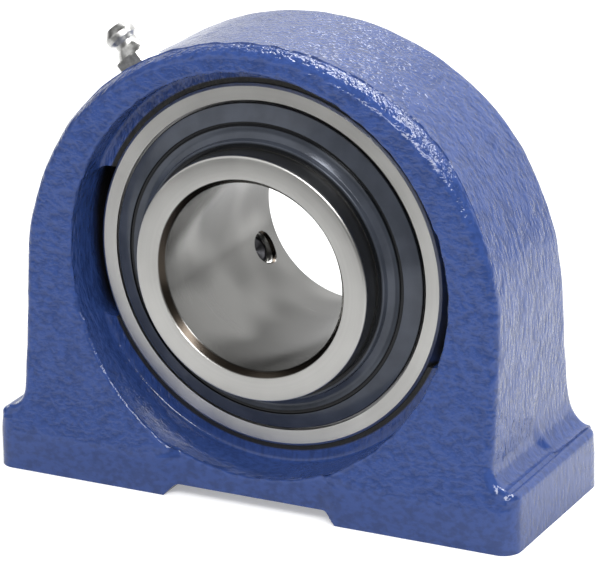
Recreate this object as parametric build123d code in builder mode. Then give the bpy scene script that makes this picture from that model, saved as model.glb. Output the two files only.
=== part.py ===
from build123d import *
import math
import os

os.makedirs("parts", exist_ok=True)

# Pillow block bearing with a tapped short base. Lengths are in millimetres, angles in degrees.
# The origin is on the underside of the base, below the bearing centre.
# +X runs along the base, +Y points to the back, +Z is up and the bearing axis is along Y.

# Housing outline and depth
centre_height = 49.2
base_depth = 44.0
foot_height = 13.0
foot_straight_height = 8.0
arch_radius = 53.7
arch_drop = 6.0
foot_reach = 5.8
foot_top_flat = 0.4
top_depth = 33.0
flare_above_centre = 11.0
flare_blend_radius = 12.0
foot_root_radius = 3.4
back_web_start = 2.0
foot_corner_radius = 3.8
outline_radius = 1.8

# Housing underside and front face between the feet
base_recess_width = 39.0
base_recess_height = 2.5
base_recess_radius = 1.8
front_setback = 1.2
front_setback_slope = 2.3
front_setback_radius = 1.0
bolt_spacing = 84.0
bolt_hole_diameter = 12.0
bolt_hole_depth = 24.0
drill_point_angle = 118.0

# Housing seat, pockets and loading slots
seat_width = 19.6
seat_clearance = 0.04
ledge_height = 2.36
pocket_draft = 1.0
pocket_root_radius = 0.8
rim_radius = 0.8
slot_step = 0.4
slot_height = 33.0
slot_corner_radius = 4.0
slot_past_centre = 1.5

# Insert bearing rings
bore_diameter = 40.0
inner_ring_length = 49.2
inner_ring_front = 19.0
inner_shoulder = 2.153
bore_chamfer_depth = 1.6
bore_chamfer_rise = 1.2
ring_edge_radius = 0.7
outer_ring_diameter = 80.0
outer_ring_width = 21.0
outer_ring_edge = 0.4
outer_shoulder = 1.953
seal_seat_step = 1.3
seal_seat_depth = 2.9

# Balls and races
ball_count = 9
ball_diameter = 11.906
race_diameter_ratio = 1.04
race_clearance = 0.03
first_ball_angle = 90.0

# Cage
cage_thickness = 0.8
cage_width = 4.2
cage_pocket_clearance = 0.2
rivet_diameter = 1.8
rivet_head_diameter = 3.0
rivet_head_height = 0.7
rivet_clearance = 0.03

# Seals
seal_clearance = 0.02
carrier_thickness = 0.6
carrier_rim_height = 1.7
carrier_gap = 2.3
lip_thickness = 1.2
lip_overlap = 0.8
lip_clearance = 0.1
lip_bevel = 0.5

# Flingers
flinger_edge_gap = 0.5
flinger_clearance = 0.01
flinger_thickness = 0.9
flinger_edge_offset = 10.7
flinger_edge_chamfer = 0.2
flinger_step_offset = 12.3
flinger_slope_width = 3.7
flinger_groove_width = 0.7
flinger_groove_depth = 0.5
flinger_dish_depth = 0.35
flinger_lip_width = 1.4
flinger_lip_offset = 13.8
flinger_lip_height = 1.1
flinger_lip_chamfer = 0.3
flinger_hub_clearance = 0.3

# Set screws
screw_count = 2
screw_hole_diameter = 6.9
screw_clearance = 0.05
screw_length = 6.0
screw_to_ring_end = 7.9
first_screw_angle = 86.5
screw_spacing_angle = 120.0
screw_withdrawn = 1.8
screw_chamfer = 0.6
screw_socket_width = 4.0
screw_socket_depth = 3.0
screw_cup_diameter = 4.4
screw_cup_depth = 1.0

# Grease nipple
nipple_angle = 131.0
nipple_offset = 3.0
nipple_seat_depth = 0.6
nipple_spot_diameter = 12.0
nipple_thread_diameter = 6.0
nipple_thread_clearance = 0.05
nipple_thread_length = 6.0
nipple_hex_width = 9.0
nipple_hex_height = 3.8
nipple_cone_diameter = 7.6
nipple_neck_diameter = 4.9
nipple_neck_height = 5.8
nipple_neck_top = 6.9
nipple_head_diameter = 6.7
nipple_head_start = 7.7
nipple_head_end = 9.0
nipple_height = 10.7
nipple_tip_diameter = 3.4
nipple_mouth_diameter = 1.4
nipple_mouth_depth = 0.6
nipple_ball_diameter = 2.0
nipple_ball_clearance = 0.08
nipple_ball_seat_gap = 0.03
nipple_spring_length = 4.5
nipple_spring_wire = 0.3
nipple_spring_turns = 4
nipple_outlet_diameter = 1.2

# Grease passages
grease_passage_diameter = 3.0
grease_groove_width = 5.0
grease_groove_depth = 0.8
grease_groove_offset = 4.2
grease_hole_diameter = 2.0
grease_hole_offset = 5.9

# Values worked out from the driving dimensions
arch_centre = centre_height - arch_drop
half_length = arch_radius + foot_reach
back_web_radius = foot_reach - outline_radius - foot_top_flat
half_base = base_depth / 2
half_top = top_depth / 2
half_seat = seat_width / 2
half_ring = outer_ring_width / 2
ring_radius = outer_ring_diameter / 2
seat_radius = ring_radius + seat_clearance
pocket_radius = seat_radius + ledge_height
slot_radius = pocket_radius + slot_step
pitch_diameter = (bore_diameter + outer_ring_diameter) / 2
inner_ring_diameter = pitch_diameter - ball_diameter + 2 * inner_shoulder
outer_ring_bore = pitch_diameter + ball_diameter - 2 * outer_shoulder
inner_radius = inner_ring_diameter / 2
bore_radius = bore_diameter / 2
inner_ring_back = inner_ring_length - inner_ring_front
ball_radius = ball_diameter / 2
pitch_radius = pitch_diameter / 2
race_radius = ball_radius * race_diameter_ratio
inner_race_centre = pitch_radius - ball_radius - race_clearance + race_radius
outer_race_centre = pitch_radius + ball_radius + race_clearance - race_radius
seal_seat_radius = outer_ring_bore / 2 + seal_seat_step
seal_seat_offset = half_ring - seal_seat_depth
lip_face_offset = seal_seat_offset + carrier_thickness + lip_thickness
screw_offset = inner_ring_back - screw_to_ring_end
nipple_seat = arch_radius - nipple_seat_depth
past = 1.0

# The bearing axis, the plane across it and the plane through it that holds the turned profiles
bearing_axis = Axis((0, 0, centre_height), (0, 1, 0))
across = Plane(origin=(0, 0, centre_height), x_dir=(1, 0, 0), z_dir=(0, -1, 0))
section = Plane(origin=(0, 0, centre_height), x_dir=(0, 1, 0), z_dir=(1, 0, 0))


def radial_point(angle, offset, radius, centre=centre_height):
    """The point at an angle and radius about the centre, offset along the bearing axis."""
    turn = math.radians(angle)
    return Vector(radius * math.cos(turn), offset, centre + radius * math.sin(turn))


def radial_plane(angle, offset, radius, centre=centre_height):
    """A plane square to the radius, with its normal pointing outwards."""
    start = radial_point(angle, offset, radius, centre)
    outward = radial_point(angle, offset, radius + 1, centre) - start
    return Plane(origin=start, x_dir=(0, 1, 0), z_dir=outward)


def radial_section(angle, offset, radius, centre=centre_height):
    """A plane across the bearing axis whose local y runs outwards along the radius."""
    turn = math.radians(angle)
    tangent = Vector(-math.sin(turn), 0, math.cos(turn))
    return Plane(origin=radial_point(angle, offset, radius, centre), x_dir=tangent, z_dir=(0, 1, 0))


def radial_axis(angle, offset, centre=centre_height):
    """The axis that runs outwards along a radius."""
    start = radial_point(angle, offset, 0, centre)
    return Axis(start, radial_point(angle, offset, 1, centre) - start)


def at_foot_corner(edge):
    """True for the upright edges at the four outer corners of the feet."""
    centre = edge.center()
    return abs(abs(centre.X) - half_length) < 0.01 and abs(centre.Y) > half_top


def on_outline(edge):
    """True for the edges round the front and back outlines and the ends of the foot tops."""
    box = edge.bounding_box()
    centre = edge.center()
    above_feet = box.min.Z > foot_height - 0.01
    at_foot_end = abs(abs(centre.X) - half_length) < 0.01
    return above_feet and (at_foot_end or abs(centre.Y) > half_top - 0.1)


def on_pocket_rim(edge):
    """True for the edges where a pocket wall meets the front or back face."""
    spots = [edge @ share for share in (0.0, 0.5, 1.0)]
    radii = [math.hypot(spot.X, spot.Z - centre_height) for spot in spots]
    clear_of_seat = min(abs(spot.Y) for spot in spots) > half_top - front_setback - 0.1
    return clear_of_seat and min(radii) > pocket_radius and max(radii) < pocket_radius + 2.5


# Housing: one casting, with the arch, the flared front and back faces and the two feet
with BuildPart() as housing:
    with BuildSketch(Plane.XZ) as outline:
        with BuildLine():
            Polyline(
                (-arch_radius, arch_centre),
                (-arch_radius, foot_height),
                (-half_length, foot_height),
                (-half_length, 0),
                (half_length, 0),
                (half_length, foot_height),
                (arch_radius, foot_height),
                (arch_radius, arch_centre),
            )
            ThreePointArc(
                (arch_radius, arch_centre),
                (0, arch_centre + arch_radius),
                (-arch_radius, arch_centre),
            )
        make_face()
        foot_tops = outline.vertices().filter_by_position(Axis.Y, foot_height - 0.1, foot_height + 0.1)
        fillet(foot_tops.sort_by(Axis.X)[1:3], radius=foot_root_radius)
    extrude(amount=half_base, both=True)

    # Webs that thicken the foot roots at the back
    for side in (-1, 1):
        web_inside = side * (arch_radius - past)
        web_wall = side * arch_radius
        web_end = side * (arch_radius + back_web_radius)
        web_middle = arch_radius + back_web_radius * (1 - math.sqrt(0.5))
        web_rise = foot_height + back_web_radius * (1 - math.sqrt(0.5))
        with BuildSketch(Plane.XZ.offset(-half_base)):
            with BuildLine():
                Polyline(
                    (web_wall, foot_height + back_web_radius),
                    (web_inside, foot_height + back_web_radius),
                    (web_inside, foot_height - past),
                    (web_end, foot_height - past),
                    (web_end, foot_height),
                )
                ThreePointArc(
                    (web_end, foot_height),
                    (side * web_middle, web_rise),
                    (web_wall, foot_height + back_web_radius),
                )
            make_face()
        extrude(amount=half_base - back_web_start)

    # Side profile: upright at the arch, flaring out to the full depth of the feet
    flare_height = centre_height + flare_above_centre
    top_height = arch_centre + arch_radius + past
    with BuildSketch(Plane.YZ) as profile:
        with BuildLine():
            for side in (-1, 1):
                Line((0, 0), (side * half_base, 0))
                Line((side * half_base, 0), (side * half_base, foot_straight_height))
                TangentArc(
                    (side * half_top, flare_height),
                    (side * half_base, foot_straight_height),
                    tangent=(0, -1),
                )
                Line((side * half_top, flare_height), (side * half_top, top_height))
                Line((side * half_top, top_height), (0, top_height))
        make_face()
        flare_ends = profile.vertices().filter_by_position(
            Axis.Y, foot_straight_height - 0.1, foot_straight_height + 0.1
        )
        fillet(flare_ends, radius=flare_blend_radius)
    extrude(amount=half_length + past, both=True, mode=Mode.INTERSECT)

    # Cast edges: upright corners of the feet first, then the whole outline
    fillet(housing.edges().filter_by(at_foot_corner), radius=foot_corner_radius)
    fillet(housing.edges().filter_by(on_outline), radius=outline_radius)

    # Shallow setback in the front face between the feet, soft at its sides
    with BuildSketch(Plane.XY) as setback:
        with BuildLine():
            Polyline(
                (-half_length / 2, -half_base),
                (-base_recess_width / 2 - front_setback_slope / 2, -half_base),
                (-base_recess_width / 2 + front_setback_slope / 2, -half_base + front_setback),
                (base_recess_width / 2 - front_setback_slope / 2, -half_base + front_setback),
                (base_recess_width / 2 + front_setback_slope / 2, -half_base),
                (half_length / 2, -half_base),
                (half_length / 2, -half_base - past),
                (-half_length / 2, -half_base - past),
                close=True,
            )
        make_face()
        setback_bends = setback.vertices().filter_by_position(
            Axis.X, -base_recess_width / 2 - front_setback_slope, base_recess_width / 2 + front_setback_slope
        )
        fillet(setback_bends, radius=front_setback_radius)
    extrude(amount=foot_height, mode=Mode.SUBTRACT)

    # Channel across the underside that leaves the two foot pads
    with BuildSketch(Plane.XZ) as channel:
        Rectangle(base_recess_width, base_recess_height * 2)
        fillet(channel.vertices().group_by(Axis.Y)[-1], radius=base_recess_radius)
    extrude(amount=half_base + past, both=True, mode=Mode.SUBTRACT)

    # Spherical seat with a pocket on each side
    seat_edge = math.sqrt(seat_radius**2 - half_seat**2)
    pocket_run = half_base + past - half_seat
    pocket_mouth = pocket_radius + pocket_run * math.tan(math.radians(pocket_draft))
    with BuildSketch(section) as seat_profile:
        with BuildLine():
            ThreePointArc((-half_seat, seat_edge), (0, seat_radius), (half_seat, seat_edge))
            Polyline(
                (half_seat, seat_edge),
                (half_seat, pocket_radius),
                (half_base + past, pocket_mouth),
                (half_base + past, 0),
                (-half_base - past, 0),
                (-half_base - past, pocket_mouth),
                (-half_seat, pocket_radius),
                (-half_seat, seat_edge),
            )
        make_face()
        pocket_roots = seat_profile.vertices().filter_by_position(
            Axis.Y, pocket_radius - 0.1, pocket_radius + 0.1
        )
        fillet(pocket_roots, radius=pocket_root_radius)
    revolve(axis=bearing_axis, mode=Mode.SUBTRACT)
    fillet(housing.edges().filter_by(on_pocket_rim), radius=rim_radius)

    # Two loading slots, from the front pocket to just past the centre of the seat
    with BuildSketch(across.offset(half_base + past)) as slots:
        Circle(slot_radius)
        Rectangle(slot_radius * 2, slot_height, mode=Mode.INTERSECT)
        fillet(slots.vertices(), radius=slot_corner_radius)
    extrude(amount=-(half_base + past + slot_past_centre), mode=Mode.SUBTRACT)

    # Tapped mounting holes from below, at their core diameter, with drill points
    drill_point = bolt_hole_diameter / 2 / math.tan(math.radians(drill_point_angle / 2))
    for side in (-1, 1):
        with BuildSketch(Plane.XZ):
            with BuildLine():
                Polyline(
                    (side * bolt_spacing / 2, -past),
                    (side * bolt_spacing / 2, bolt_hole_depth + drill_point),
                    (side * bolt_spacing / 2 + bolt_hole_diameter / 2, bolt_hole_depth),
                    (side * bolt_spacing / 2 + bolt_hole_diameter / 2, -past),
                    close=True,
                )
            make_face()
        revolve(axis=Axis((side * bolt_spacing / 2, 0, 0), (0, 0, 1)), mode=Mode.SUBTRACT)

    # Spot face, tapped hole and grease passage for the nipple
    spot_plane = radial_plane(nipple_angle, nipple_offset, nipple_seat, arch_centre)
    with BuildSketch(spot_plane):
        Circle(nipple_spot_diameter / 2)
    extrude(amount=nipple_seat_depth + past, mode=Mode.SUBTRACT)
    with BuildSketch(spot_plane):
        Circle(nipple_thread_diameter / 2)
    extrude(amount=-(nipple_thread_length + nipple_seat_depth), mode=Mode.SUBTRACT)
    with BuildSketch(spot_plane):
        Circle(grease_passage_diameter / 2)
    extrude(amount=-(nipple_seat - seat_radius + past), mode=Mode.SUBTRACT)
housing.part.label = "housing"
export_step(housing.part, "parts/housing.step")


# Outer ring: spherical outside, one ball race and a seal seat at each side
outer_race_half = math.sqrt(race_radius**2 - (outer_ring_bore / 2 - outer_race_centre) ** 2)
sphere_edge = math.sqrt(ring_radius**2 - (half_ring - outer_ring_edge) ** 2)
sphere_face = math.sqrt(ring_radius**2 - half_ring**2) - outer_ring_edge
groove_front = grease_groove_offset - grease_groove_width / 2
groove_back = grease_groove_offset + grease_groove_width / 2
groove_floor = math.sqrt(ring_radius**2 - grease_groove_offset**2) - grease_groove_depth
with BuildPart() as outer_ring:
    with BuildSketch(section):
        with BuildLine():
            ThreePointArc(
                (-half_ring + outer_ring_edge, sphere_edge),
                (0, ring_radius),
                (half_ring - outer_ring_edge, sphere_edge),
            )
            Polyline(
                (half_ring - outer_ring_edge, sphere_edge),
                (half_ring, sphere_face),
                (half_ring, seal_seat_radius),
                (seal_seat_offset, seal_seat_radius),
                (seal_seat_offset, outer_ring_bore / 2),
                (outer_race_half, outer_ring_bore / 2),
            )
            ThreePointArc(
                (outer_race_half, outer_ring_bore / 2),
                (0, outer_race_centre + race_radius),
                (-outer_race_half, outer_ring_bore / 2),
            )
            Polyline(
                (-outer_race_half, outer_ring_bore / 2),
                (-seal_seat_offset, outer_ring_bore / 2),
                (-seal_seat_offset, seal_seat_radius),
                (-half_ring, seal_seat_radius),
                (-half_ring, sphere_face),
                (-half_ring + outer_ring_edge, sphere_edge),
            )
        make_face()
    revolve(axis=bearing_axis)
    with BuildSketch(section):
        with BuildLine():
            Polyline(
                (groove_front, groove_floor),
                (groove_back, groove_floor),
                (groove_back, ring_radius + past),
                (groove_front, ring_radius + past),
                close=True,
            )
        make_face()
    revolve(axis=bearing_axis, mode=Mode.SUBTRACT)
    for turn in (0, 180):
        with BuildSketch(radial_plane(nipple_angle + turn, grease_hole_offset, outer_ring_bore / 2 - past)):
            Circle(grease_hole_diameter / 2)
        extrude(amount=ring_radius - outer_ring_bore / 2 + past, mode=Mode.SUBTRACT)
outer_ring.part.label = "outer_ring"
export_step(outer_ring.part, "parts/outer_ring.step")


# Inner ring: chamfered bore, one ball race and two tapped holes on the long side
inner_race_half = math.sqrt(race_radius**2 - (inner_race_centre - inner_radius) ** 2)
with BuildPart() as inner_ring:
    with BuildSketch(section) as inner_profile:
        with BuildLine():
            ThreePointArc(
                (-inner_race_half, inner_radius),
                (0, inner_race_centre - race_radius),
                (inner_race_half, inner_radius),
            )
            Polyline(
                (inner_race_half, inner_radius),
                (inner_ring_back, inner_radius),
                (inner_ring_back, bore_radius + bore_chamfer_rise),
                (inner_ring_back - bore_chamfer_depth, bore_radius),
                (-inner_ring_front + bore_chamfer_depth, bore_radius),
                (-inner_ring_front, bore_radius + bore_chamfer_rise),
                (-inner_ring_front, inner_radius),
                (-inner_race_half, inner_radius),
            )
        make_face()
        ring_corners = inner_profile.vertices().group_by(Axis.Y)[-1].sort_by(Axis.X)
        fillet([ring_corners[0], ring_corners[-1]], radius=ring_edge_radius)
    revolve(axis=bearing_axis)
    for index in range(screw_count):
        angle = first_screw_angle + index * screw_spacing_angle
        with BuildSketch(radial_plane(angle, screw_offset, bore_radius - past)):
            Circle(screw_hole_diameter / 2)
        extrude(amount=inner_radius - bore_radius + past * 2, mode=Mode.SUBTRACT)
inner_ring.part.label = "inner_ring"
export_step(inner_ring.part, "parts/inner_ring.step")


# Balls, evenly spaced on the pitch circle
for index in range(ball_count):
    ball_angle = first_ball_angle + index * 360 / ball_count
    with BuildPart(radial_plane(ball_angle, 0, pitch_radius)) as ball:
        Sphere(ball_radius)
    ball.part.label = f"ball_{index + 1}"
    export_step(ball.part, f"parts/ball_{index + 1}.step")


# Cage halves: pressed rings with a round pocket over each ball, flat between the pockets
pocket_inside = ball_radius + cage_pocket_clearance
pocket_outside = pocket_inside + cage_thickness
first_rivet_angle = first_ball_angle + 180 / ball_count
for side, name in ((-1, "front"), (1, "back")):
    with BuildPart(across) as cage:
        with PolarLocations(pitch_radius, ball_count, start_angle=first_ball_angle):
            Sphere(pocket_outside)
        with BuildSketch(section):
            with BuildLine():
                Polyline(
                    (0, pitch_radius - cage_width / 2),
                    (0, pitch_radius + cage_width / 2),
                    (side * (pocket_outside + past), pitch_radius + cage_width / 2),
                    (side * (pocket_outside + past), pitch_radius - cage_width / 2),
                    close=True,
                )
            make_face()
        revolve(axis=bearing_axis, mode=Mode.INTERSECT)
        with BuildSketch(section):
            with BuildLine():
                Polyline(
                    (0, pitch_radius - cage_width / 2),
                    (0, pitch_radius + cage_width / 2),
                    (side * cage_thickness, pitch_radius + cage_width / 2),
                    (side * cage_thickness, pitch_radius - cage_width / 2),
                    close=True,
                )
            make_face()
        revolve(axis=bearing_axis)
        with PolarLocations(pitch_radius, ball_count, start_angle=first_ball_angle):
            Sphere(pocket_inside, mode=Mode.SUBTRACT)
        with PolarLocations(pitch_radius, ball_count, start_angle=first_rivet_angle):
            Cylinder(
                rivet_diameter / 2 + rivet_clearance,
                cage_thickness * 4,
                mode=Mode.SUBTRACT,
            )
    cage.part.label = f"cage_{name}"
    export_step(cage.part, f"parts/cage_{name}.step")


# Cage rivets: one between each two balls, headed on both sides
with BuildPart(across) as cage_rivets:
    with PolarLocations(pitch_radius, ball_count, start_angle=first_rivet_angle):
        Cylinder(rivet_diameter / 2, cage_thickness * 2 + rivet_head_height)
    for side in (-1, 1):
        with Locations((0, 0, side * (cage_thickness + rivet_head_height / 2))):
            with PolarLocations(pitch_radius, ball_count, start_angle=first_rivet_angle):
                Cylinder(rivet_head_diameter / 2, rivet_head_height)
    rivet_ends = cage_rivets.edges().filter_by(GeomType.CIRCLE).group_by(Axis.Y)
    chamfer(rivet_ends[0] + rivet_ends[-1], length=rivet_head_height / 2)
cage_rivets.part.label = "cage_rivets"
export_step(cage_rivets.part, "parts/cage_rivets.step")


# Seals: a pressed carrier in the outer ring and a rubber lip bonded to its inner edge
carrier_outside = seal_seat_radius - seal_clearance
carrier_inside = inner_radius + carrier_gap
carrier_face = seal_seat_offset + carrier_thickness
lip_inside = inner_radius + lip_clearance
for side, name in ((-1, "front"), (1, "back")):
    with BuildPart() as seal_carrier:
        with BuildSketch(section):
            with BuildLine():
                Polyline(
                    (side * seal_seat_offset, carrier_inside),
                    (side * seal_seat_offset, carrier_outside),
                    (side * (seal_seat_offset + carrier_rim_height), carrier_outside),
                    (side * (seal_seat_offset + carrier_rim_height), carrier_outside - carrier_thickness),
                    (side * carrier_face, carrier_outside - carrier_thickness),
                    (side * carrier_face, carrier_inside),
                    close=True,
                )
            make_face()
        revolve(axis=bearing_axis)
    seal_carrier.part.label = f"seal_carrier_{name}"
    export_step(seal_carrier.part, f"parts/seal_carrier_{name}.step")

    with BuildPart() as seal_lip:
        with BuildSketch(section):
            with BuildLine():
                Polyline(
                    (side * seal_seat_offset, carrier_inside - seal_clearance),
                    (side * carrier_face, carrier_inside - seal_clearance),
                    (side * carrier_face, carrier_inside + lip_overlap),
                    (side * lip_face_offset, carrier_inside + lip_overlap),
                    (side * lip_face_offset, lip_inside + lip_bevel * 2),
                    (side * (lip_face_offset - lip_bevel), lip_inside),
                    (side * (seal_seat_offset + lip_bevel), lip_inside),
                    (side * seal_seat_offset, lip_inside + lip_bevel),
                    close=True,
                )
            make_face()
        revolve(axis=bearing_axis)
    seal_lip.part.label = f"seal_lip_{name}"
    export_step(seal_lip.part, f"parts/seal_lip_{name}.step")


# Flingers: dished rings pressed on the inner ring in front of the seals
flinger_radius = seal_seat_radius - flinger_edge_gap
flinger_bore = inner_radius + flinger_clearance
flinger_hub = flinger_bore + flinger_thickness
hub_start = lip_face_offset + flinger_hub_clearance
edge_back = flinger_edge_offset - flinger_thickness
step_radius = flinger_radius - flinger_slope_width
step_back = flinger_step_offset - flinger_thickness
groove_inside = step_radius - flinger_groove_width
lip_radius = inner_radius + flinger_lip_width
lip_root = flinger_lip_offset - flinger_lip_height
lip_root_radius = lip_radius + flinger_lip_chamfer
for side, name in ((-1, "front"), (1, "back")):
    with BuildPart() as flinger:
        with BuildSketch(section):
            with BuildLine():
                Polyline(
                    (side * flinger_step_offset, groove_inside),
                    (side * (flinger_step_offset - flinger_groove_depth), groove_inside),
                    (side * (flinger_step_offset - flinger_groove_depth), step_radius),
                    (side * flinger_step_offset, step_radius),
                    (side * flinger_edge_offset, flinger_radius - flinger_edge_chamfer),
                    (side * (flinger_edge_offset - flinger_edge_chamfer), flinger_radius),
                    (side * edge_back, flinger_radius),
                    (side * step_back, step_radius - flinger_thickness),
                    (side * step_back, flinger_hub),
                    (side * hub_start, flinger_hub),
                    (side * hub_start, flinger_bore),
                    (side * (flinger_lip_offset - flinger_lip_chamfer), flinger_bore),
                    (side * flinger_lip_offset, flinger_bore + flinger_lip_chamfer),
                    (side * flinger_lip_offset, lip_radius - flinger_lip_chamfer),
                    (side * (flinger_lip_offset - flinger_lip_chamfer), lip_radius),
                    (side * lip_root, lip_root_radius),
                )
                ThreePointArc(
                    (side * lip_root, lip_root_radius),
                    (
                        side * (flinger_step_offset - flinger_dish_depth / 2),
                        (lip_root_radius + groove_inside) / 2,
                    ),
                    (side * flinger_step_offset, groove_inside),
                )
            make_face()
        revolve(axis=bearing_axis)
    flinger.part.label = f"flinger_{name}"
    export_step(flinger.part, f"parts/flinger_{name}.step")


# Set screws: cup points, hexagon sockets, drawn at the core diameter of their thread
screw_radius = screw_hole_diameter / 2 - screw_clearance
for index in range(screw_count):
    angle = first_screw_angle + index * screw_spacing_angle
    tip_plane = radial_plane(angle, screw_offset, bore_radius + screw_withdrawn)
    end_plane = radial_plane(angle, screw_offset, bore_radius + screw_withdrawn + screw_length)
    with BuildPart() as set_screw:
        with BuildSketch(tip_plane):
            Circle(screw_radius)
        extrude(amount=screw_length)
        chamfer(set_screw.edges().filter_by(GeomType.CIRCLE), length=screw_chamfer)
        with BuildSketch(radial_section(angle, screw_offset, bore_radius + screw_withdrawn)):
            with BuildLine():
                Polyline(
                    (0, -past),
                    (screw_cup_diameter / 2, -past),
                    (screw_cup_diameter / 2, 0),
                    (0, screw_cup_depth),
                    close=True,
                )
            make_face()
        revolve(axis=radial_axis(angle, screw_offset), mode=Mode.SUBTRACT)
        with BuildSketch(end_plane):
            RegularPolygon(screw_socket_width / 2, 6, major_radius=False)
        extrude(amount=-screw_socket_depth, mode=Mode.SUBTRACT)
    set_screw.part.label = f"set_screw_{index + 1}"
    export_step(set_screw.part, f"parts/set_screw_{index + 1}.step")


# Grease nipple body: shank, hexagon, neck and head, with a stepped passage
shank_radius = nipple_thread_diameter / 2 - nipple_thread_clearance
cavity_radius = nipple_ball_diameter / 2 + nipple_ball_clearance
cavity_top = nipple_height - nipple_mouth_depth
ball_reach = nipple_ball_diameter / 2 + nipple_ball_seat_gap
ball_height = cavity_top - math.sqrt(ball_reach**2 - (nipple_mouth_diameter / 2) ** 2)
spring_radius = nipple_ball_diameter / 2 - nipple_spring_wire / 2
spring_drop = math.sqrt((nipple_ball_diameter / 2 + nipple_spring_wire / 2) ** 2 - spring_radius**2)
spring_top = ball_height - spring_drop - nipple_ball_seat_gap
spring_bottom = spring_top - nipple_spring_length
cavity_bottom = spring_bottom - nipple_spring_wire / 2
nipple_section = radial_section(nipple_angle, nipple_offset, nipple_seat, arch_centre)
nipple_axis = radial_axis(nipple_angle, nipple_offset, arch_centre)
with BuildPart() as nipple_body:
    with BuildSketch(spot_plane):
        RegularPolygon(nipple_hex_width / 2, 6, major_radius=False)
    extrude(amount=nipple_hex_height)
    with BuildSketch(nipple_section):
        with BuildLine():
            Polyline(
                (0, -nipple_thread_length),
                (shank_radius, -nipple_thread_length),
                (shank_radius, nipple_hex_height / 2),
                (nipple_cone_diameter / 2, nipple_hex_height / 2),
                (nipple_cone_diameter / 2, nipple_hex_height),
                (nipple_neck_diameter / 2, nipple_neck_height),
                (nipple_neck_diameter / 2, nipple_neck_top),
                (nipple_head_diameter / 2, nipple_head_start),
                (nipple_head_diameter / 2, nipple_head_end),
                (nipple_tip_diameter / 2, nipple_height),
                (0, nipple_height),
                close=True,
            )
        make_face()
    revolve(axis=nipple_axis)
    with BuildSketch(nipple_section):
        with BuildLine():
            Polyline(
                (0, -nipple_thread_length - past),
                (nipple_outlet_diameter / 2, -nipple_thread_length - past),
                (nipple_outlet_diameter / 2, cavity_bottom),
                (cavity_radius, cavity_bottom),
                (cavity_radius, cavity_top),
                (nipple_mouth_diameter / 2, cavity_top),
                (nipple_mouth_diameter / 2, nipple_height + past),
                (0, nipple_height + past),
                close=True,
            )
        make_face()
    revolve(axis=nipple_axis, mode=Mode.SUBTRACT)
nipple_body.part.label = "nipple_body"
export_step(nipple_body.part, "parts/nipple_body.step")


# Nipple check ball, held against the mouth by its spring
ball_plane = radial_plane(nipple_angle, nipple_offset, nipple_seat + ball_height, arch_centre)
with BuildPart(ball_plane) as nipple_ball:
    Sphere(nipple_ball_diameter / 2)
nipple_ball.part.label = "nipple_ball"
export_step(nipple_ball.part, "parts/nipple_ball.step")


# Nipple spring
spring_start = radial_point(nipple_angle, nipple_offset, nipple_seat + spring_bottom, arch_centre)
spring_pitch = nipple_spring_length / nipple_spring_turns
with BuildPart() as nipple_spring:
    with BuildLine() as coil:
        Helix(
            pitch=spring_pitch,
            height=nipple_spring_length,
            radius=spring_radius,
            center=spring_start,
            direction=spot_plane.z_dir,
        )
    with BuildSketch(Plane(origin=coil.line @ 0, z_dir=coil.line % 0)):
        Circle(nipple_spring_wire / 2)
    sweep(path=coil.line)
nipple_spring.part.label = "nipple_spring"
export_step(nipple_spring.part, "parts/nipple_spring.step")
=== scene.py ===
import math

import bmesh
import bpy
import numpy as np
from bpy.props import FloatProperty, FloatVectorProperty, IntProperty, PointerProperty
from mathutils import Matrix, Vector


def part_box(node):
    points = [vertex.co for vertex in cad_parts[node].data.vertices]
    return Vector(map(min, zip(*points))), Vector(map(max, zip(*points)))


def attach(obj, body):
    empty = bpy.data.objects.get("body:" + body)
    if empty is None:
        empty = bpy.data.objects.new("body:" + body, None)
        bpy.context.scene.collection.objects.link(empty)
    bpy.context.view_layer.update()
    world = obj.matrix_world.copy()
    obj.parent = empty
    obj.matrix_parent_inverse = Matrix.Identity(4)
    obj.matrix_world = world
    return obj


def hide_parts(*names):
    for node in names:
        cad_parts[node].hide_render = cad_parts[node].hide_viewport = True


bl_info = {
    "name": "Pillow block bearing",
    "version": (1, 0, 0),
    "blender": (4, 5, 0),
    "location": "View3D > Sidebar > Pillow block",
    "description": "Builds the painted housing, the ground rings, the flingers and the grease nipple",
    "category": "Object",
}

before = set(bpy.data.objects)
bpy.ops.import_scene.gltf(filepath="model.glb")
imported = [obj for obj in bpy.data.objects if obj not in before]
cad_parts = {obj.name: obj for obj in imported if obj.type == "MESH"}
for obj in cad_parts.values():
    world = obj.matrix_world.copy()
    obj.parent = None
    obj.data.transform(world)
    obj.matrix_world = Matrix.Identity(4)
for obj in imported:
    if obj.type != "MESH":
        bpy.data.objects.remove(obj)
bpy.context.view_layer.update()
MM = 0.001
PITCH_RADIUS = 30 * MM
RACE_RADIUS = 6.19 * MM
RACE_SHIFT = 0.2 * MM
POCKET_FILLET = 0.8 * MM
SPARE = 6 * MM
SLAB = 30 * MM
CREASE = math.radians(32)
FINE = 2e-6


def length(name, description, millimetres):
    """A length property with its default in metres."""
    default = millimetres * MM
    return FloatProperty(
        name=name, description=description, default=default, unit="LENGTH", subtype="DISTANCE", precision=5
    )


def turn(name, description, degrees):
    """An angle property with its default in radians."""
    return FloatProperty(
        name=name, description=description, default=math.radians(degrees), unit="ROTATION", subtype="ANGLE"
    )


def colour(name, description, value):
    """A linear colour property."""
    return FloatVectorProperty(
        name=name, description=description, default=value, size=3, subtype="COLOR", min=0, max=1
    )


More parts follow.
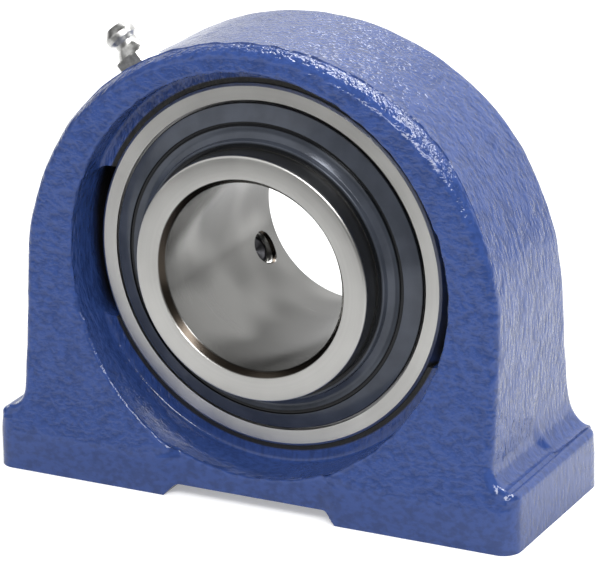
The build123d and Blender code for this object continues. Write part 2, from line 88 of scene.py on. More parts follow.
class HousingSizes(bpy.types.PropertyGroup):
    """Sizes and colour of the cast housing"""

    centre_height: length("Centre height", "Bearing axis above the base", 49.2)
    arch_radius: length("Arch radius", "Outside of the arch", 53.7)
    arch_drop: length("Arch drop", "Middle of the arch below the bearing axis", 6.0)
    foot_reach: length("Foot reach", "How far a foot stands out past the arch", 5.8)
    foot_height: length("Foot height", "Outer edge of the foot tops above the base", 12.6)
    foot_slope: length("Foot slope", "Rise of a foot top towards the wall", 0.6)
    base_half: length("Half base depth", "Half the depth at the feet", 22.0)
    top_half: length("Half top depth", "Half the depth at the arch", 16.4)
    flare_start: length("Flare start", "Height at which the faces start to flare", 60.2)
    root_width: length("Front root width", "Front fillet over a foot, along the base", 3.4)
    root_rise: length("Front root height", "Front fillet over a foot, up the wall", 4.6)
    web_width: length("Back root width", "Back fillet over a foot, along the base", 4.0)
    web_rise: length("Back root height", "Back fillet over a foot, up the wall", 7.8)
    web_start: length("Web start", "Where the thicker fillet starts", 1.0)
    corner_radius: length("Foot corner radius", "Upright corners of the feet", 3.8)
    edge_radius: length("Edge radius", "Cast edges of the outline", 1.8)
    brow_depth: length("Brow depth", "Ridge of the arch behind the front face", 4.4)
    brow_rise: length("Brow rise", "Ridge above the edge of the front face", 2.4)
    swell: length("Arch swell", "Ridge outside the arch radius", 1.0)
    crown: length("Crown", "Fall of the arch from its ridge to the back face", 0.5)
    crest_height: length("Crest height", "Top of the arch above the base", 96.78)
    seat_radius: length("Seat radius", "Spherical seat of the outer ring", 40.04)
    seat_half: length("Half seat width", "Half the width of the seat", 9.8)
    pocket_radius: length("Pocket radius", "Wall of the pockets beside the seat", 42.4)
    pocket_draft: turn("Pocket draft", "Taper of the pocket walls", 1.0)
    rim_radius: length("Rim radius", "Rounding of the pocket rim", 0.8)
    slot_radius: length("Slot radius", "Outer wall of the loading slots", 42.8)
    slot_half: length("Half slot height", "Half the height of a loading slot", 16.5)
    slot_corner: length("Slot corner radius", "Corners of a loading slot", 4.0)
    slot_end: length("Slot end", "Depth at which a loading slot ends", 1.5)
    setback: length("Front setback", "Setback of the front between the feet", 1.2)
    setback_half: length("Half setback width", "Half the width of the setback", 17.9)
    channel_half: length("Half channel width", "Half the channel under the base, at its mouth", 19.7)
    channel_slope: length("Channel slope", "How far each side of the channel leans in", 2.3)
    channel_height: length("Channel height", "Height of the channel under the base", 2.5)
    bolt_half: length("Half bolt spacing", "Half the distance between the bolt holes", 42.0)
    bead: length("Bead", "Ragged bead of paint on the ridge and the rim", 0.13)
    relief: length("Cast relief", "Height of the waves in the cast skin", 0.09)
    paint: colour("Paint", "Blue enamel", (0.027, 0.057, 0.198))


class InsertSizes(bpy.types.PropertyGroup):
    """Sizes and colours of the bearing insert"""

    bore_radius: length("Bore radius", "Bore of the inner ring", 20.0)
    inner_radius: length("Inner ring radius", "Outside of the inner ring", 26.2)
    inner_front: length("Inner ring front", "Front face ahead of the centre", 19.0)
    inner_back: length("Inner ring back", "Back face behind the centre", 30.2)
    outer_radius: length("Outer ring radius", "Spherical outside of the outer ring", 40.0)
    outer_half: length("Half outer width", "Half the width of the outer ring", 10.5)
    seal_seat: length("Seal seat radius", "Recess that holds the seals", 35.3)
    screw_offset: length("Set screw offset", "Set screws behind the centre", 22.3)
    screw_angle: turn("Set screw angle", "Angle of the first set screw", 86.5)
    screw_step: turn("Set screw step", "Angle between the set screws", 120.0)
    thread_pitch: length("Thread pitch", "Pitch of the set screw holes", 1.0)
    flinger_radius: length("Flinger radius", "Rim of the flingers", 34.8)
    groove_inner: length("Groove inner radius", "Inside of the groove in a flinger", 30.4)
    groove_outer: length("Groove outer radius", "Outside of the groove in a flinger", 31.1)
    lip_radius: length("Flinger lip radius", "Outside of a flinger's lip on the inner ring", 27.1)
    segments: IntProperty(name="Segments", description="Steps round each turned part", default=288, min=24)
    steel: colour("Ground steel", "Faces and bore of the rings", (0.69, 0.686, 0.664))
    coating: colour("Flinger coating", "Dark satin coating", (0.058, 0.066, 0.084))


class NippleSizes(bpy.types.PropertyGroup):
    """Sizes and colour of the grease nipple"""

    angle: turn("Nipple angle", "Where the nipple stands on the arch", 131.0)
    offset: length("Nipple offset", "Behind the centre of the arch", 3.0)
    seat: length("Nipple seat", "Its seat from the middle of the arch", 53.1)
    hexagon: length("Half hexagon width", "Half the width across flats", 4.5)
    plating: colour("Zinc", "Bright zinc plate", (0.66, 0.66, 0.645))


class StageSizes(bpy.types.PropertyGroup):
    """View"""

    azimuth: turn("Azimuth", "Camera to the right of the front", 27.14)
    elevation: turn("Elevation", "Camera above the horizon", 19.98)
    roll: turn("Roll", "Camera roll", -1.08)
    distance: length("Distance", "Camera to target", 900.0)
    target_x: length("Target X", "Point looked at, along the base", 1.7)
    target_z: length("Target height", "Point looked at, above the base", 42.91)
    lens: FloatProperty(name="Lens", description="Focal length in millimetres", default=262.98, min=1)


def smooth(low, high, value):
    """The smooth step from 0 at low to 1 at high."""
    share = np.clip((value - low) / (high - low), 0, 1)
    return share * share * (3 - 2 * share)


def spaced(low, high, count):
    """Evenly spaced values from low up to, but not with, high."""
    return np.linspace(low, high, count, endpoint=False)


def stacked(*parts):
    """Rows of coordinates, each part an array or one number for every row."""
    return np.stack(np.broadcast_arrays(*parts), -1)


def waves(points, wavelength, seed, count=36):
    """A smooth random field: the sum of sine waves in random directions, about one wavelength long."""
    rng = np.random.default_rng(seed)
    directions = rng.normal(size=(3, count))
    directions /= np.linalg.norm(directions, axis=0)
    rates = 2 * np.pi / (wavelength * rng.uniform(0.7, 1.6, count))
    return np.sin(points @ (directions * rates) + rng.uniform(0, 2 * np.pi, count)).sum(-1) / math.sqrt(count)


def closed_mesh(name, grid, crease=CREASE):
    """A closed mesh from a grid of points whose rows and columns both join up with their starts. Points that
    coincide are merged, so a row that shrinks to a point closes the surface there. Faces point outwards, and
    edges sharper than the crease are marked."""
    rows, columns = grid.shape[:2]
    index = np.arange(rows * columns).reshape(rows, columns)
    ahead = np.roll(index, -1, 0)
    quads = np.stack([index, ahead, np.roll(ahead, -1, 1), np.roll(index, -1, 1)], -1)
    mesh = bpy.data.meshes.new(name)
    mesh.from_pydata(grid.reshape(-1, 3).tolist(), [], quads.reshape(-1, 4).tolist())
    work = bmesh.new()
    work.from_mesh(mesh)
    bmesh.ops.remove_doubles(work, verts=work.verts, dist=FINE)
    bmesh.ops.dissolve_degenerate(work, edges=work.edges, dist=FINE)
    bmesh.ops.recalc_face_normals(work, faces=work.faces)
    work.to_mesh(mesh)
    work.free()
    mesh.shade_smooth()
    mesh.set_sharp_from_angle(angle=crease)
    return mesh


def spokes(angles, side, other):
    """Unit vectors at the angles from side towards other."""
    return np.outer(np.cos(angles), side) + np.outer(np.sin(angles), other)


def turned(profile, origin, axis, segments):
    """Points of a turned surface: each (offset, radius) of the profile goes round the axis.
    A point is origin + offset * axis + radius * (cos t * side + sin t * other side)."""
    axis = Vector(axis).normalized()
    side = axis.orthogonal().normalized()
    around = spokes(spaced(0, 2 * np.pi, segments), side, axis.cross(side))
    profile = np.asarray(profile, float)
    return np.array(origin) + profile[:, None, :1] * np.array(axis) + profile[:, None, 1:2] * around[None]


def rounded(corners, radii, steps=6):
    """A profile through its corners, each one replaced by an arc of its radius.
    The arc is centred on the corner's bisector and touches both sides."""
    corners = np.asarray(corners, float)
    radii = np.broadcast_to(np.asarray(radii, float), len(corners))
    before = np.roll(corners, 1, 0) - corners
    after = np.roll(corners, -1, 0) - corners
    before /= np.linalg.norm(before, axis=1, keepdims=True)
    after /= np.linalg.norm(after, axis=1, keepdims=True)
    half = np.arccos(np.clip((before * after).sum(1), -1, 1)) / 2
    bisector = before + after
    bisector /= np.maximum(np.linalg.norm(bisector, axis=1, keepdims=True), 1e-9)
    centre = corners + bisector * (radii / np.sin(half))[:, None]
    start = corners + before * (radii / np.tan(half))[:, None] - centre
    end = corners + after * (radii / np.tan(half))[:, None] - centre
    share = np.linspace(0, 1, steps)[None, :, None]
    sweep = (np.pi - 2 * half)[:, None, None]
    weight = np.where(sweep > 1e-6, np.sin(np.maximum(sweep, 1e-6)), 1)
    arc = (np.sin((1 - share) * sweep) * start[:, None] + np.sin(share * sweep) * end[:, None]) / weight
    return (centre[:, None] + arc).reshape(-1, 2)


def placed(name, data):
    """A new object that holds the data, in the scene."""
    item = bpy.data.objects.new(name, data)
    bpy.context.scene.collection.objects.link(item)
    return item


def piece(name, mesh, body, material, nodes):
    """Puts a finished mesh into the scene as a piece that rides on a body and stands for CAD nodes."""
    mesh.materials.clear()
    mesh.materials.append(material)
    item = placed(name, mesh)
    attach(item, body)
    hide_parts(*nodes)
    return item


def carved(mesh, cutter):
    """The mesh less the cutter, by an exact Boolean that is applied at once."""
    block, knife = placed("block", mesh), placed("knife", cutter)
    cut = block.modifiers.new("cut", "BOOLEAN")
    cut.operation = "DIFFERENCE"
    cut.solver = "EXACT"
    cut.object = knife
    bpy.context.view_layer.update()
    result = bpy.data.meshes.new_from_object(block.evaluated_get(bpy.context.evaluated_depsgraph_get()))
    for item in (block, knife):
        bpy.data.objects.remove(item)
    if len(result.polygons) < 8:
        raise RuntimeError("the cut left nothing of " + mesh.name)
    result.materials.clear()
    result.shade_smooth()
    result.set_sharp_from_angle(angle=CREASE)
    return result


def joined(name, meshes):
    """One mesh that holds several closed ones."""
    work = bmesh.new()
    for mesh in meshes:
        work.from_mesh(mesh)
    result = bpy.data.meshes.new(name)
    work.to_mesh(result)
    work.free()
    return result


class Value:
    """A socket of a node tree that can be used in ordinary arithmetic."""

    def __init__(self, nodes, socket):
        self.nodes = nodes
        self.socket = socket

    def math(self, operation, *terms):
        """A Math node over the terms."""
        return self.nodes.node("ShaderNodeMath", 0, {"operation": operation}, dict(enumerate(terms)))

    def __add__(self, other):
        return self.math("ADD", self, other)

    __radd__ = __add__

    def __mul__(self, other):
        return self.math("MULTIPLY", self, other)

    __rmul__ = __mul__

    def __rsub__(self, other):
        return self.math("SUBTRACT", other, self)

    def __sub__(self, other):
        return self.math("SUBTRACT", self, other)

    def __abs__(self):
        return self.math("ABSOLUTE", self)

    def larger(self, other):
        """The larger of two values."""
        return self.math("MAXIMUM", self, other)

    def ramp(self, low, high, start=0, end=1, kind="LINEAR"):
        """The run from start at low to end at high, level beyond both."""
        inputs = {0: self, 1: low, 2: high, 3: start, 4: end}
        return self.nodes.node("ShaderNodeMapRange", 0, {"interpolation_type": kind}, inputs)

    def step(self, low, high, start=0, end=1):
        """The smooth step from start at low to end at high."""
        return self.ramp(low, high, start, end, "SMOOTHSTEP")


class Nodes:
    """A node tree under construction."""

    def __init__(self, tree):
        self.tree = tree

    def node(self, kind, output, settings, inputs):
        """Adds a node, sets its settings first, then the values or links of its sockets."""
        added = self.tree.nodes.new(kind)
        for key, value in settings.items():
            setattr(added, key, value)
        for key, value in inputs.items():
            if isinstance(value, Value):
                self.tree.links.new(value.socket, added.inputs[key])
            else:
                added.inputs[key].default_value = value
        return Value(self, added.outputs[output])

    def place(self):
        """Object coordinates, in metres in the row frame."""
        return self.node("ShaderNodeTexCoord", "Object", {}, {})

    def split(self, vector, part):
        """One part of a vector."""
        return self.node("ShaderNodeSeparateXYZ", part, {}, {0: vector})

    def rays(self, kind):
        """1 for rays of a kind, such as Camera or Glossy, and 0 for the others."""
        return self.node("ShaderNodeLightPath", f"Is {kind} Ray", {}, {})

    def mixed(self, share, first, second):
        """A shader between first and second."""
        return self.node("ShaderNodeMixShader", 0, {}, {0: share, 1: first, 2: second})

    def matt(self, value):
        """A matt surface of one colour."""
        return self.node("ShaderNodeBsdfDiffuse", 0, {}, {"Color": value})

    def glowing(self, surface, strength):
        """A surface that also gives off white light."""
        glow = self.node("ShaderNodeEmission", 0, {}, {"Strength": strength})
        return self.node("ShaderNodeAddShader", 0, {}, {0: surface, 1: glow})


class Finish(Nodes):
    """A material under construction: constants on its shader, nodes for what changes over the surface."""

    def __init__(self, name, constants):
        self.material = bpy.data.materials.new(name)
        self.material.use_nodes = True
        super().__init__(self.material.node_tree)
        self.shader = self.tree.nodes["Principled BSDF"]
        for socket, value in constants.items():
            self.shader.inputs[socket].default_value = value

    def vector(self, operation, output, *terms):
        """A Vector Math node over the terms."""
        return self.node("ShaderNodeVectorMath", output, {"operation": operation}, dict(enumerate(terms)))

    def axis_distance(self, place, height):
        """Distance from the bearing axis, which runs along Y at a height."""
        return self.vector("LENGTH", "Value", self.vector("MULTIPLY_ADD", 0, place, (1, 0, 1), (0, 0, -height)))

    def noise(self, vector, size, detail=2.0, roughness=0.5):
        """Smooth noise whose features are about size metres across."""
        inputs = {"Vector": vector, "Scale": 1 / size, "Detail": detail, "Roughness": roughness}
        return self.node("ShaderNodeTexNoise", "Fac", {}, inputs)

    def blend(self, share, first, second):
        """A colour between first and second."""
        return self.node("ShaderNodeMix", 2, {"data_type": "RGBA"}, {0: share, 6: first, 7: second})

    def finished(self, base, rough, height, depth, strength):
        """Links the base colour, the roughness and a bump from a height, and gives the material."""
        bump = self.node("ShaderNodeBump", 0, {}, {"Height": height, "Distance": depth, "Strength": strength})
        for key, value in {"Base Color": base, "Roughness": rough, "Normal": bump}.items():
            self.tree.links.new(value.socket, self.shader.inputs[key])
        return self.material


def tint(value, factor=1.0):
    """An RGBA colour from a linear one, made lighter or darker."""
    return (*[min(1.0, c * factor) for c in value], 1.0)


def enamel(sizes):
    """Glossy enamel over rough cast iron. The front and back are dimpled along X and the outside is fibrous
    along Z. Beside the seat the iron is near black, partly bare iron and partly painted shade in the gap by the
    outer ring, and deep in the slots the near black is painted shade."""
    f = Finish("housing_paint", {"IOR": 1.55})
    place = f.place()
    along = f.split(place, "Y")
    rough = 0.3 + 0.7 * f.split(place, "Z").step(0.01, 0.03)
    dimpled = f.noise(f.vector("MULTIPLY", 0, place, (0.7, 1.0, 1.0)), size=0.0012, roughness=0.55)
    fibrous = f.noise(f.vector("MULTIPLY", 0, place, (1.0, 1.0, 0.4)), size=0.0011, roughness=0.55)
    facing = abs(along).step(0.0145, 0.0165)
    grain = facing * dimpled + (1 - facing) * fibrous
    broad = f.noise(place, size=0.0045, detail=1.5)
    relief = (0.6 * grain + 0.4 * broad) * rough
    # painted shade: the paint is darker where the relief is low, in the hollows of the dimples and fibres, and
    # its tone also varies at random
    shade = (0.75 * grain + 0.25 * broad).step(0.36, 0.6)
    paint = f.blend(shade, tint(sizes.paint, 0.8), tint(sizes.paint, 1.1))
    radius = f.axis_distance(place, sizes.centre_height)
    seat, slot = sizes.seat_radius, sizes.slot_radius
    # near black beside the seat is partly bare machined iron and partly painted shade in the gap by the outer
    # ring; near black deep in the slots is painted shade
    shelf = 1 - radius.step(seat - 0.0004, seat + 0.0001)
    deep = (1 - radius.step(slot + 0.0004, slot + 0.0008)) * along.step(-0.0085, -0.004)
    bare_iron_and_shade = shelf.larger(deep * (1 - along.step(0.006, 0.0065)))
    dark = f.blend(grain, (0.004, 0.0038, 0.0034, 1), (0.014, 0.013, 0.011, 1))
    gloss = 0.1 + 0.09 * broad + 0.35 * bare_iron_and_shade
    return f.finished(f.blend(bare_iron_and_shade, paint, dark), gloss, relief, depth=0.001, strength=0.6)


def ground_steel(sizes, height):
    """Ground bearing steel: fine rings round the bearing axis and a faint film of oil. The bore is painted
    darker, with soft patches, as painted shade and dark reflections, and has brown chamfers. The outside of the
    inner ring's front end is painted darker too, as a painted dark reflection."""
    f = Finish("ground_steel", {"Metallic": 1.0})
    place = f.place()
    radius = f.axis_distance(place, height)
    along = f.split(place, "Y")
    line = f.node("ShaderNodeCombineXYZ", 0, {}, {0: radius, 1: along, 2: 0.0})
    lines = f.noise(line, size=0.00022, detail=3.0, roughness=0.7)
    bands = f.noise(line, size=0.0016)
    film = f.noise(place, size=0.011)
    shade = (0.6 * film + 0.4 * bands).step(0.3, 0.7)
    base = f.blend(shade, tint(sizes.steel, 0.9), tint(sizes.steel, 1.06))
    edge, rim = sizes.bore_radius, sizes.inner_radius
    # painted shade: the bore is painted darker, in soft patches, for the dark reflections inside it
    bore = 1 - radius.step(edge + 0.0009, edge + 0.0012)
    bore_shade_patch = f.noise(place, size=0.02, detail=1.0).step(0.38, 0.62)
    base = f.blend(bore, base, f.blend(bore_shade_patch, tint(sizes.steel, 0.15), tint(sizes.steel, 0.34)))
    chamfer = bore * radius.step(edge + 0.00005, edge + 0.0002)
    base = f.blend(chamfer, base, (0.07, 0.058, 0.047, 1.0))
    # painted dark reflection: the outside of the inner ring between its front face and the flinger is painted
    # darker
    collar_shade = radius.step(rim - 0.0003, rim - 0.0001) * (1 - radius.step(0.03, 0.031))
    collar_shade = collar_shade * (1 - along.step(-0.0145, -0.0135))
    base = f.blend(collar_shade, base, tint(sizes.steel, 0.3))
    sheen = 0.24 + 0.1 * lines + 0.08 * film - 0.08 * bore
    return f.finished(base, sheen, lines, depth=0.00003, strength=0.35)


def satin_coating(sizes, height):
    """Dark satin coating on pressed sheet, slightly uneven in gloss, with painted shade in near black at the
    groove, at the rim and beside the lip.
    """
    f = Finish("flinger_coating", {"Metallic": 0.3, "IOR": 1.5})
    place = f.place()
    cloud = f.noise(place, size=0.006, detail=3.0)
    grain = f.noise(place, size=0.0004, detail=1.0)
    base = f.blend(cloud.step(0.3, 0.7), tint(sizes.coating, 0.88), tint(sizes.coating, 1.15))
    radius = f.axis_distance(place, height)
    inner, outer, rim, lip = sizes.groove_inner, sizes.groove_outer, sizes.flinger_radius, sizes.lip_radius
    # painted shade: near black at the groove, at the rim by the seal and beside the lip by the inner ring
    groove = radius.step(inner - 0.0003, inner) * (1 - radius.step(outer, outer + 0.0002))
    groove = groove + radius.step(rim - 0.0003, rim - 0.0001)
    groove = groove + (1 - radius.step(lip - 0.0001, lip + 0.0003))
    base = f.blend(groove, base, tint(sizes.coating, 0.12))
    return f.finished(base, 0.13 + 0.1 * cloud, grain, depth=0.00004, strength=0.3)


def plain_metal(name, value, rough, spread, size):
    """A metal whose gloss and tone drift over a size in metres."""
    f = Finish(name, {"Metallic": 1.0})
    cloud = f.noise(f.place(), size, detail=3.0)
    base = f.blend(cloud.step(0.3, 0.7), tint(value, 0.78), tint(value, 1.15))
    return f.finished(base, rough + spread * cloud, cloud, depth=0.00003, strength=0.3)


def black_rubber():
    """Black nitrile rubber with a faint grain."""
    f = Finish("seal_rubber", {"IOR": 1.5})
    grain = f.noise(f.place(), size=0.0005)
    base = f.blend(grain, (0.012, 0.012, 0.013, 1.0), (0.026, 0.026, 0.028, 1.0))
    return f.finished(base, 0.5 + 0.15 * grain, grain, depth=0.00005, strength=0.4)


def half_depth(sizes, height):
    """Half the depth of the casting at a height: full at the feet, then an arc that ends upright at the arch.
    The two are joined by a soft minimum."""
    rise = sizes.flare_start - 8 * MM
    reach = sizes.base_half - sizes.top_half
    bend = (reach**2 + rise**2) / (2 * reach)
    drop = np.clip(sizes.flare_start - height, 0, rise * 1.3)
    arc = sizes.top_half + bend - np.sqrt(bend**2 - drop**2)
    soft = 0.2 * MM
    return 0.5 * (arc + sizes.base_half - np.sqrt((arc - sizes.base_half) ** 2 + soft**2))


def face_offset(sizes, side, x, height):
    """Y of the front or back face at a place, with the setback between the feet in the front one."""
    depth = half_depth(sizes, height)
    if side < 0:
        half, blend = sizes.setback_half, 1.6 * MM
        inside = 1 - smooth(half - blend, half + blend, np.abs(x))
        depth = depth - sizes.setback * inside * (1 - smooth(16 * MM, 20 * MM, height))
    return side * depth


def half_outline(sizes, width, rise):
    """The right half of the outline from the middle of the underside to the top, as columns. It starts below
    the base, where the casting is machined off. Gives each column's point, its point on the face inside the
    rounded edge, the depth of that edge, the angle about the bearing axis to which it belongs and its share in
    the brow of the arch. The fillet over the foot is a quarter of an ellipse."""
    middle, wall = sizes.centre_height - sizes.arch_drop, sizes.arch_radius
    end, top = wall + sizes.foot_reach, sizes.foot_height
    edge, corner = sizes.edge_radius, sizes.corner_radius
    bottom, lower = 4 * MM, -SPARE
    run = spaced(0, end - bottom, 64)
    under = stacked(run, lower, run, lower + corner)
    sweep = spaced(-np.pi / 2, 0, 8)
    ring = stacked(np.cos(sweep), np.sin(sweep))
    low = np.array([end - bottom, lower + bottom])
    low_corner = np.concatenate([low + bottom * ring, low + (bottom - corner) * ring], -1)
    height = spaced(lower + bottom, top - edge, 30)
    foot_end = stacked(end, height, end - corner, height)
    sweep = spaced(0, np.pi / 2, 9)
    high_corner = stacked(
        end - edge + edge * np.cos(sweep),
        top - edge + edge * np.sin(sweep),
        end - corner + (corner - edge) * sweep / (np.pi / 2),
        top - edge,
    )
    share = spaced(0, 1, 8)
    run = (end - edge) * (1 - share) + (wall + width) * share
    height = top + sizes.foot_slope * share
    foot_top = stacked(run, height, run, height - edge)
    sweep = spaced(0, np.pi / 2, 20)
    root_top = top + sizes.foot_slope + rise
    hollow = np.array([wall + width, root_top]) - stacked(width * np.sin(sweep), rise * np.cos(sweep))
    inward = stacked(np.sin(sweep) / width, np.cos(sweep) / rise)
    inward /= np.linalg.norm(inward, axis=1, keepdims=True)
    fillet = np.concatenate([hollow, hollow - edge * inward], -1)
    foot, arch_start = math.radians(50), -math.atan2(sizes.arch_drop, wall)
    slot_low, slot_high = math.radians(17), math.radians(26)
    runs = [(-foot, -slot_high, 24), (-slot_high, -slot_low, 34), (-slot_low, arch_start, 12)]
    slope = np.concatenate([spaced(*run) for run in runs])
    level = middle - (middle - root_top) * np.sin(np.pi / 2 * (arch_start - slope) / (arch_start + foot))
    upright = stacked(wall, level, wall - edge, level)
    runs = [spaced(arch_start, slot_low, 26), spaced(slot_low, slot_high, 34)]
    arch_angle = np.concatenate([*runs, np.linspace(slot_high, np.pi / 2, 92)])
    cos, sin = np.cos(arch_angle), np.sin(arch_angle)
    reach = np.sqrt(wall**2 - (sizes.arch_drop * cos) ** 2) - sizes.arch_drop * sin
    spoke = stacked(reach * cos, sizes.arch_drop + reach * sin) / wall
    lift = np.array([0, middle])
    upper = smooth(math.radians(8), math.radians(48), arch_angle)
    outside = wall + sizes.swell * upper
    inside = outside - edge - (sizes.brow_rise - edge) * upper
    arch = np.concatenate([lift + outside[:, None] * spoke, lift + inside[:, None] * spoke], -1)
    shoulder = 72 * MM
    squeeze = (sizes.crest_height - shoulder) / (middle + wall + sizes.swell - shoulder)
    arch[:, [1, 3]] -= (1 - squeeze) * np.maximum(arch[:, [1, 3]] - shoulder, 0)
    parts = [under, low_corner, foot_end, high_corner, foot_top, fillet, upright, arch]
    stops = np.radians([-90, -68, -67, -61, -60, -58.5, -50])
    angles = [spaced(start, stop, len(part)) for start, stop, part in zip(stops, stops[1:], parts)]
    angles += [slope, arch_angle]
    depths = [np.full(len(part), corner if number < 3 else edge) for number, part in enumerate(parts)]
    depths[3] = corner + (edge - corner) * spaced(0, 1, len(high_corner))
    brow = np.concatenate([np.zeros(sum(len(part) for part in parts[:-1])), upper])
    return np.concatenate(parts), np.concatenate(depths), np.concatenate(angles), brow


def outline(sizes, width, rise):
    """The whole outline, the right half and its mirror image, going round once."""
    points, depths, angles, brow = half_outline(sizes, width, rise)
    mirrored = points[-2:0:-1] * np.array([-1, 1, -1, 1])
    return (
        np.concatenate([points, mirrored]),
        np.concatenate([depths, depths[-2:0:-1]]),
        np.concatenate([angles, np.pi - angles[-2:0:-1]]),
        np.concatenate([brow, brow[-2:0:-1]]),
    )


def slot_wall(sizes, angles):
    """Distance of the loading slots' wall from the axis at each angle: an arc about the axis, flats above and
    below and an arc in each corner. It is 0 beyond the slots."""
    corner = sizes.slot_corner
    out = sizes.slot_radius - corner
    up = sizes.slot_half - corner
    tilt = math.asin(up / out)
    lean = np.abs(np.arcsin(np.sin(angles)))
    flat = sizes.slot_half / np.maximum(np.sin(lean), 1e-6)
    across = out * np.sin(lean - tilt)
    bend = out * np.cos(lean - tilt) + np.sqrt(np.maximum(corner**2 - across**2, 0))
    flat_start = math.atan2(sizes.slot_half, out * math.cos(tilt))
    wall = np.where(lean < tilt, sizes.slot_radius, np.where(lean < flat_start, bend, flat))
    return np.where(wall > sizes.seat_radius - 3 * MM, wall, 0)


def housing_grid(sizes):
    """The skin of the casting as a ring-shaped grid: columns go round the outline and rows round the section.
    From the middle of the seat a row goes out over the front pocket wall, its rim, the front face, the rounded
    edge and the outside, and comes back over the back face and the back pocket. Its distance from the axis is
    the larger of the turned cavity's and the loading slots'."""
    centre = sizes.centre_height
    front, depths, angles, brow = outline(sizes, sizes.root_width, sizes.root_rise)
    back = outline(sizes, sizes.web_width, sizes.web_rise)[0]
    bulge = np.linalg.norm(back[:, :2] - front[:, :2], axis=1)
    web_start = sizes.web_start + 3 * MM * (1 - bulge / bulge.max()) ** 2
    cos, sin = np.cos(angles), np.sin(angles)
    slot = slot_wall(sizes, angles)
    fall = sizes.crown * stacked(brow * cos, brow * sin)
    rows = []

    def ring(radius, offset):
        rows.append(stacked(radius * cos, offset, centre + radius * sin))

    def seat(offset):
        return math.sqrt(sizes.seat_radius**2 - offset**2)

    def pocket(side):
        """Rows of one pocket from the shelf to the rim's outer end, and that end's radius."""
        shelf = np.linspace(seat(sizes.seat_half), sizes.pocket_radius - POCKET_FILLET, 5)
        wall = [(radius, side * sizes.seat_half) for radius in shelf]
        for bend in np.linspace(0, np.pi / 2, 5)[1:]:
            radius = sizes.pocket_radius - POCKET_FILLET * (1 - math.sin(bend))
            wall.append((radius, side * (sizes.seat_half + POCKET_FILLET * (1 - math.cos(bend)))))
        draft = math.tan(sizes.pocket_draft)
        beyond = sizes.pocket_radius + 3 * MM
        stop = face_offset(sizes, side, beyond * cos, centre + beyond * sin) - side * sizes.rim_radius
        start = side * (sizes.seat_half + POCKET_FILLET)
        for share in np.linspace(0, 1, 11)[1:]:
            offset = start + (stop - start) * share
            wall.append((sizes.pocket_radius + (np.abs(offset) - sizes.seat_half) * draft, offset))
        reach = slot if side < 0 else 0 * slot
        cavity = [(np.maximum(radius, reach), offset) for radius, offset in wall]
        last = cavity[-1][0]
        wander = waves(stacked(last * cos, 0, last * sin), wavelength=3.5 * MM, seed=9)
        ragged = np.clip(0.5 + 0.5 * wander, 0, 1.5)
        for bend in np.linspace(0, np.pi / 2, 8)[1:]:
            swollen = 1.7 * sizes.bead * ragged * math.sin(2 * bend)
            radius = last + sizes.rim_radius * (1 - math.cos(bend)) - swollen
            offset = face_offset(sizes, side, radius * cos, centre + radius * sin)
            offset = offset - side * sizes.rim_radius * (1 - math.sin(bend))
            cavity.append((radius, offset))
        return cavity

    def face(side, columns, radius):
        """Rows of one face from the rim to the rounded edge, and over that edge to the outside. The front edge
        of the arch is a deeper brow, part arc and part slope, which meets the outside in a ridge."""
        inner = stacked(radius * cos, centre + radius * sin)
        share_of_slope = 0.42 * brow if side < 0 else 0 * brow
        depth = depths + (sizes.brow_depth - depths) * brow if side < 0 else depths
        outer = columns[:, :2]
        if side > 0:
            outer = outer - fall
        border = outer + columns[:, 2:4] - columns[:, :2]
        strips = []

        def lay(spot, behind):
            """Adds a row at a spot in X and Z, behind the face by a depth."""
            offset = face_offset(sizes, side, *spot.T) - side * behind
            strips.append(stacked(spot[:, 0], offset, spot[:, 1]))

        for share in np.linspace(0, 1, 16)[1:]:
            lay(inner + (border - inner) * share, 0)
        for bend in np.linspace(0, np.pi / 2, 12 if side < 0 else 7)[1:]:
            behind = 1 - math.cos(bend)
            across = (1 - share_of_slope) * math.sin(bend) + share_of_slope * behind
            lay(border + (outer - border) * across[:, None], depth * behind)
        if side < 0:
            crest = strips.pop()
            wander = waves(crest, wavelength=4 * MM, seed=8)
            bead = brow * sizes.bead * np.clip(0.6 + 0.5 * wander, 0, 1.6)
            drop = 0.2 * MM * brow
            for shift, rise in ((-0.28, -drop), (-0.1, bead), (0.1, bead), (0.28, 0)):
                row = crest + stacked(rise * cos, 0, rise * sin)
                row[:, 1] += brow * (shift + 0.12 * wander) * MM
                strips.append(row)
        return strips

    for offset in np.linspace(sizes.seat_half, sizes.slot_end, 6):
        ring(seat(offset), offset)
    for share in np.linspace(0, 1, 5)[1:]:
        ring(seat(sizes.slot_end) + share * np.maximum(slot - seat(sizes.slot_end), 0), sizes.slot_end)
    for offset in np.linspace(sizes.slot_end, -sizes.seat_half, 10)[1:-1]:
        ring(np.maximum(seat(offset), slot), offset)
    front_pocket = pocket(-1)
    for radius, offset in front_pocket:
        ring(radius, offset)
    front_strips = face(-1, front, front_pocket[-1][0])
    back_pocket = pocket(1)
    back_strips = face(1, back, back_pocket[-1][0])
    rows += front_strips
    first, last = front_strips[-1], back_strips[-1]
    runs = [np.linspace(0, 0.46, 11), np.linspace(0.46, 0.66, 13), np.linspace(0.66, 1, 9)[:-1]]
    for share in np.concatenate([run[1:] for run in runs]):
        offset = first[:, 1] + (last[:, 1] - first[:, 1]) * share
        web = smooth(web_start - 0.6 * MM, web_start + 0.6 * MM, offset)[:, None]
        spot = front[:, :2] + (back[:, :2] - front[:, :2]) * web - share * fall
        rows.append(stacked(spot[:, 0], offset, spot[:, 1]))
    rows += back_strips[::-1]
    for radius, offset in back_pocket[::-1][:-1]:
        ring(radius, offset)
    return np.stack(rows)


